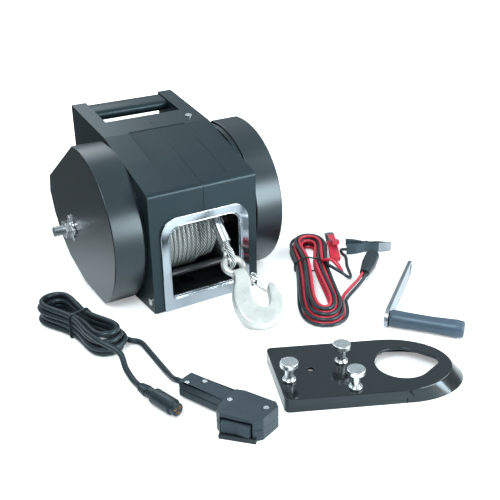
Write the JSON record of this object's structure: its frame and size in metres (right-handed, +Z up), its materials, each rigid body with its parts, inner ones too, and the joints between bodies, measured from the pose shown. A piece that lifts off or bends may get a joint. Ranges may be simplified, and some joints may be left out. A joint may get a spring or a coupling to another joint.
{
  "type": "electric recovery winch",
  "caption": "Portable electric winch with carry handle, wire rope and latched hook, its remote, battery lead, hand crank and tow-ball plate.",
  "frame": {"origin": "on the base face of the winch's steel frame, under the middle of the housing", "axes": "+Z up, the rope leaves towards -Y, +X to the right as seen from the front, along the drum's axis"},
  "size_m": [0.4292, 0.4797, 0.188],
  "materials": {
    "housing_plastic": "black moulded ABS, fine texture",
    "cover_plastic": "black moulded ABS, satin",
    "chrome_plate": "bright chrome",
    "frame_paint": "black powder coat",
    "gear_steel": "machined steel",
    "bush_bronze": "sintered bronze",
    "wire_rope": "galvanised wire rope",
    "zinc_plate": "bright zinc plate",
    "hook_zinc": "forged steel, pale zinc plate",
    "motor_steel": "black enamel",
    "ferrite": "sintered ferrite",
    "winding_copper": "enamelled copper on laminations",
    "socket_plastic": "black moulded plastic",
    "handset_plastic": "black moulded ABS, fine texture",
    "cord_rubber": "black cord sheath",
    "wire_red": "red wire insulation",
    "wire_black": "black wire insulation",
    "clamp_red": "red dipped vinyl over steel",
    "clamp_black": "black dipped vinyl over steel",
    "crank_steel": "zinc-plated flat bar",
    "grip_plastic": "blue-grey moulded plastic",
    "plate_gloss": "gloss black paint"
  },
  "bodies": {
    "base": {"left_housing": "housing_plastic", "right_housing": "housing_plastic", "left_cover": "cover_plastic", "right_cover": "cover_plastic", "carry_handle": "housing_plastic", "fairlead_plate": "chrome_plate", "winch_frame": "frame_paint", "tie_rods": "frame_paint", "gear_plate": "gear_steel", "shaft_bushes": "bush_bronze", "rope_lead": "wire_rope", "rope_ferrule": "zinc_plate", "rope_thimble": "zinc_plate", "motor_case": "motor_steel", "motor_magnets": "ferrite", "motor_end_cap": "gear_steel", "motor_brushes": "ferrite", "relay": "socket_plastic", "remote_socket": "socket_plastic", "power_socket": "socket_plastic", "case_screws": "zinc_plate", "handset_base": "handset_plastic", "handset_lid": "handset_plastic", "handset_clip": "socket_plastic", "remote_cord": "cord_rubber", "remote_hank": "cord_rubber", "remote_tie": "socket_plastic", "remote_plug": "cord_rubber", "lead_hank_red": "wire_red", "lead_hank_black": "wire_black", "lead_cord_red": "wire_red", "lead_cord_black": "wire_black", "lead_tie": "socket_plastic", "lead_plug": "cord_rubber", "red_clamp_lower": "clamp_red", "black_clamp_lower": "clamp_black", "crank_arm": "crank_steel", "hitch_plate": "plate_gloss", "hitch_studs": "zinc_plate"},
    "drum": {"drum": "gear_steel", "drum_shaft": "gear_steel", "drum_gear": "gear_steel", "rope_pack": "wire_rope", "rope_winding": "wire_rope"},
    "clutch": {"clutch_shaft": "gear_steel", "clutch_gear": "gear_steel", "star_washer": "zinc_plate"},
    "nut": {"clutch_nut": "zinc_plate"},
    "idler": {"idler_shaft": "gear_steel", "idler_gear": "gear_steel"},
    "rotor": {"motor_rotor": "winding_copper", "commutator": "bush_bronze", "motor_pinion": "gear_steel"},
    "hook": {"hook": "hook_zinc", "latch_pin": "gear_steel"},
    "latch": {"hook_latch": "zinc_plate"},
    "rocker": {"rocker_switch": "handset_plastic"},
    "grip": {"crank_grip": "grip_plastic"},
    "red_jaw": {"red_clamp_upper": "clamp_red"},
    "black_jaw": {"black_clamp_upper": "clamp_black"}
  },
  "joints": [
    {"name": "drum_spin", "type": "hinge", "parent": "base", "child": "drum", "pos_m": [0, -0.038, 0.062], "axis": [1, 0, 0], "continuous": true},
    {"name": "clutch_spin", "type": "hinge", "parent": "base", "child": "clutch", "pos_m": [-0.08, 0.02793, 0.065], "axis": [1, 0, 0], "continuous": true},
    {"name": "idler_spin", "type": "hinge", "parent": "base", "child": "idler", "pos_m": [-0.085, 0.0146, 0.10165], "axis": [1, 0, 0], "continuous": true},
    {"name": "motor_spin", "type": "hinge", "parent": "base", "child": "rotor", "pos_m": [0, 0.0486, 0.10168], "axis": [1, 0, 0], "continuous": true},
    {"name": "clutch_nut_turn", "type": "hinge", "parent": "clutch", "child": "nut", "pos_m": [-0.11, 0.02793, 0.065], "axis": [-1, 0, 0], "range_deg": [0, 180]},
    {"name": "hook_swing", "type": "hinge", "parent": "base", "child": "hook", "pos_m": [0.021, -0.116, 0.04905], "axis": [1, 0, 0], "range_deg": [-35, 59]},
    {"name": "latch_open", "type": "hinge", "parent": "hook", "child": "latch", "pos_m": [0.03396, -0.14339, 0.03448], "axis": [0, 0.4695, -0.8829], "range_deg": [0, 26], "stiffness_Nm_per_rad": 0.02, "springref_deg": -20.05},
    {"name": "rocker_press", "type": "hinge", "parent": "base", "child": "rocker", "pos_m": [-0.09902, -0.3312, 0.011], "axis": [0, 0, 1], "range_deg": [-5, 5], "stiffness_Nm_per_rad": 0.2},
    {"name": "crank_grip_spin", "type": "hinge", "parent": "base", "child": "grip", "pos_m": [0.12845, -0.25916, 0.01], "axis": [0.6115, -0.7912, 0], "continuous": true},
    {"name": "red_jaw_open", "type": "hinge", "parent": "base", "child": "red_jaw", "pos_m": [0.18873, -0.08125, 0.01344], "axis": [0.8829, -0.4695, 0], "range_deg": [0, 18], "stiffness_Nm_per_rad": 0.3, "springref_deg": -28.65},
    {"name": "black_jaw_open", "type": "hinge", "parent": "base", "child": "black_jaw", "pos_m": [0.22699, -0.10039, 0.00675], "axis": [0, 0, 1], "range_deg": [0, 18], "stiffness_Nm_per_rad": 0.3, "springref_deg": -28.65}
  ],
  "couplings": [
    {"joint": "clutch_spin", "follows": "drum_spin", "ratio": -2.3},
    {"joint": "idler_spin", "follows": "drum_spin", "ratio": 7.6667},
    {"joint": "motor_spin", "follows": "drum_spin", "ratio": -35.778}
  ]
}
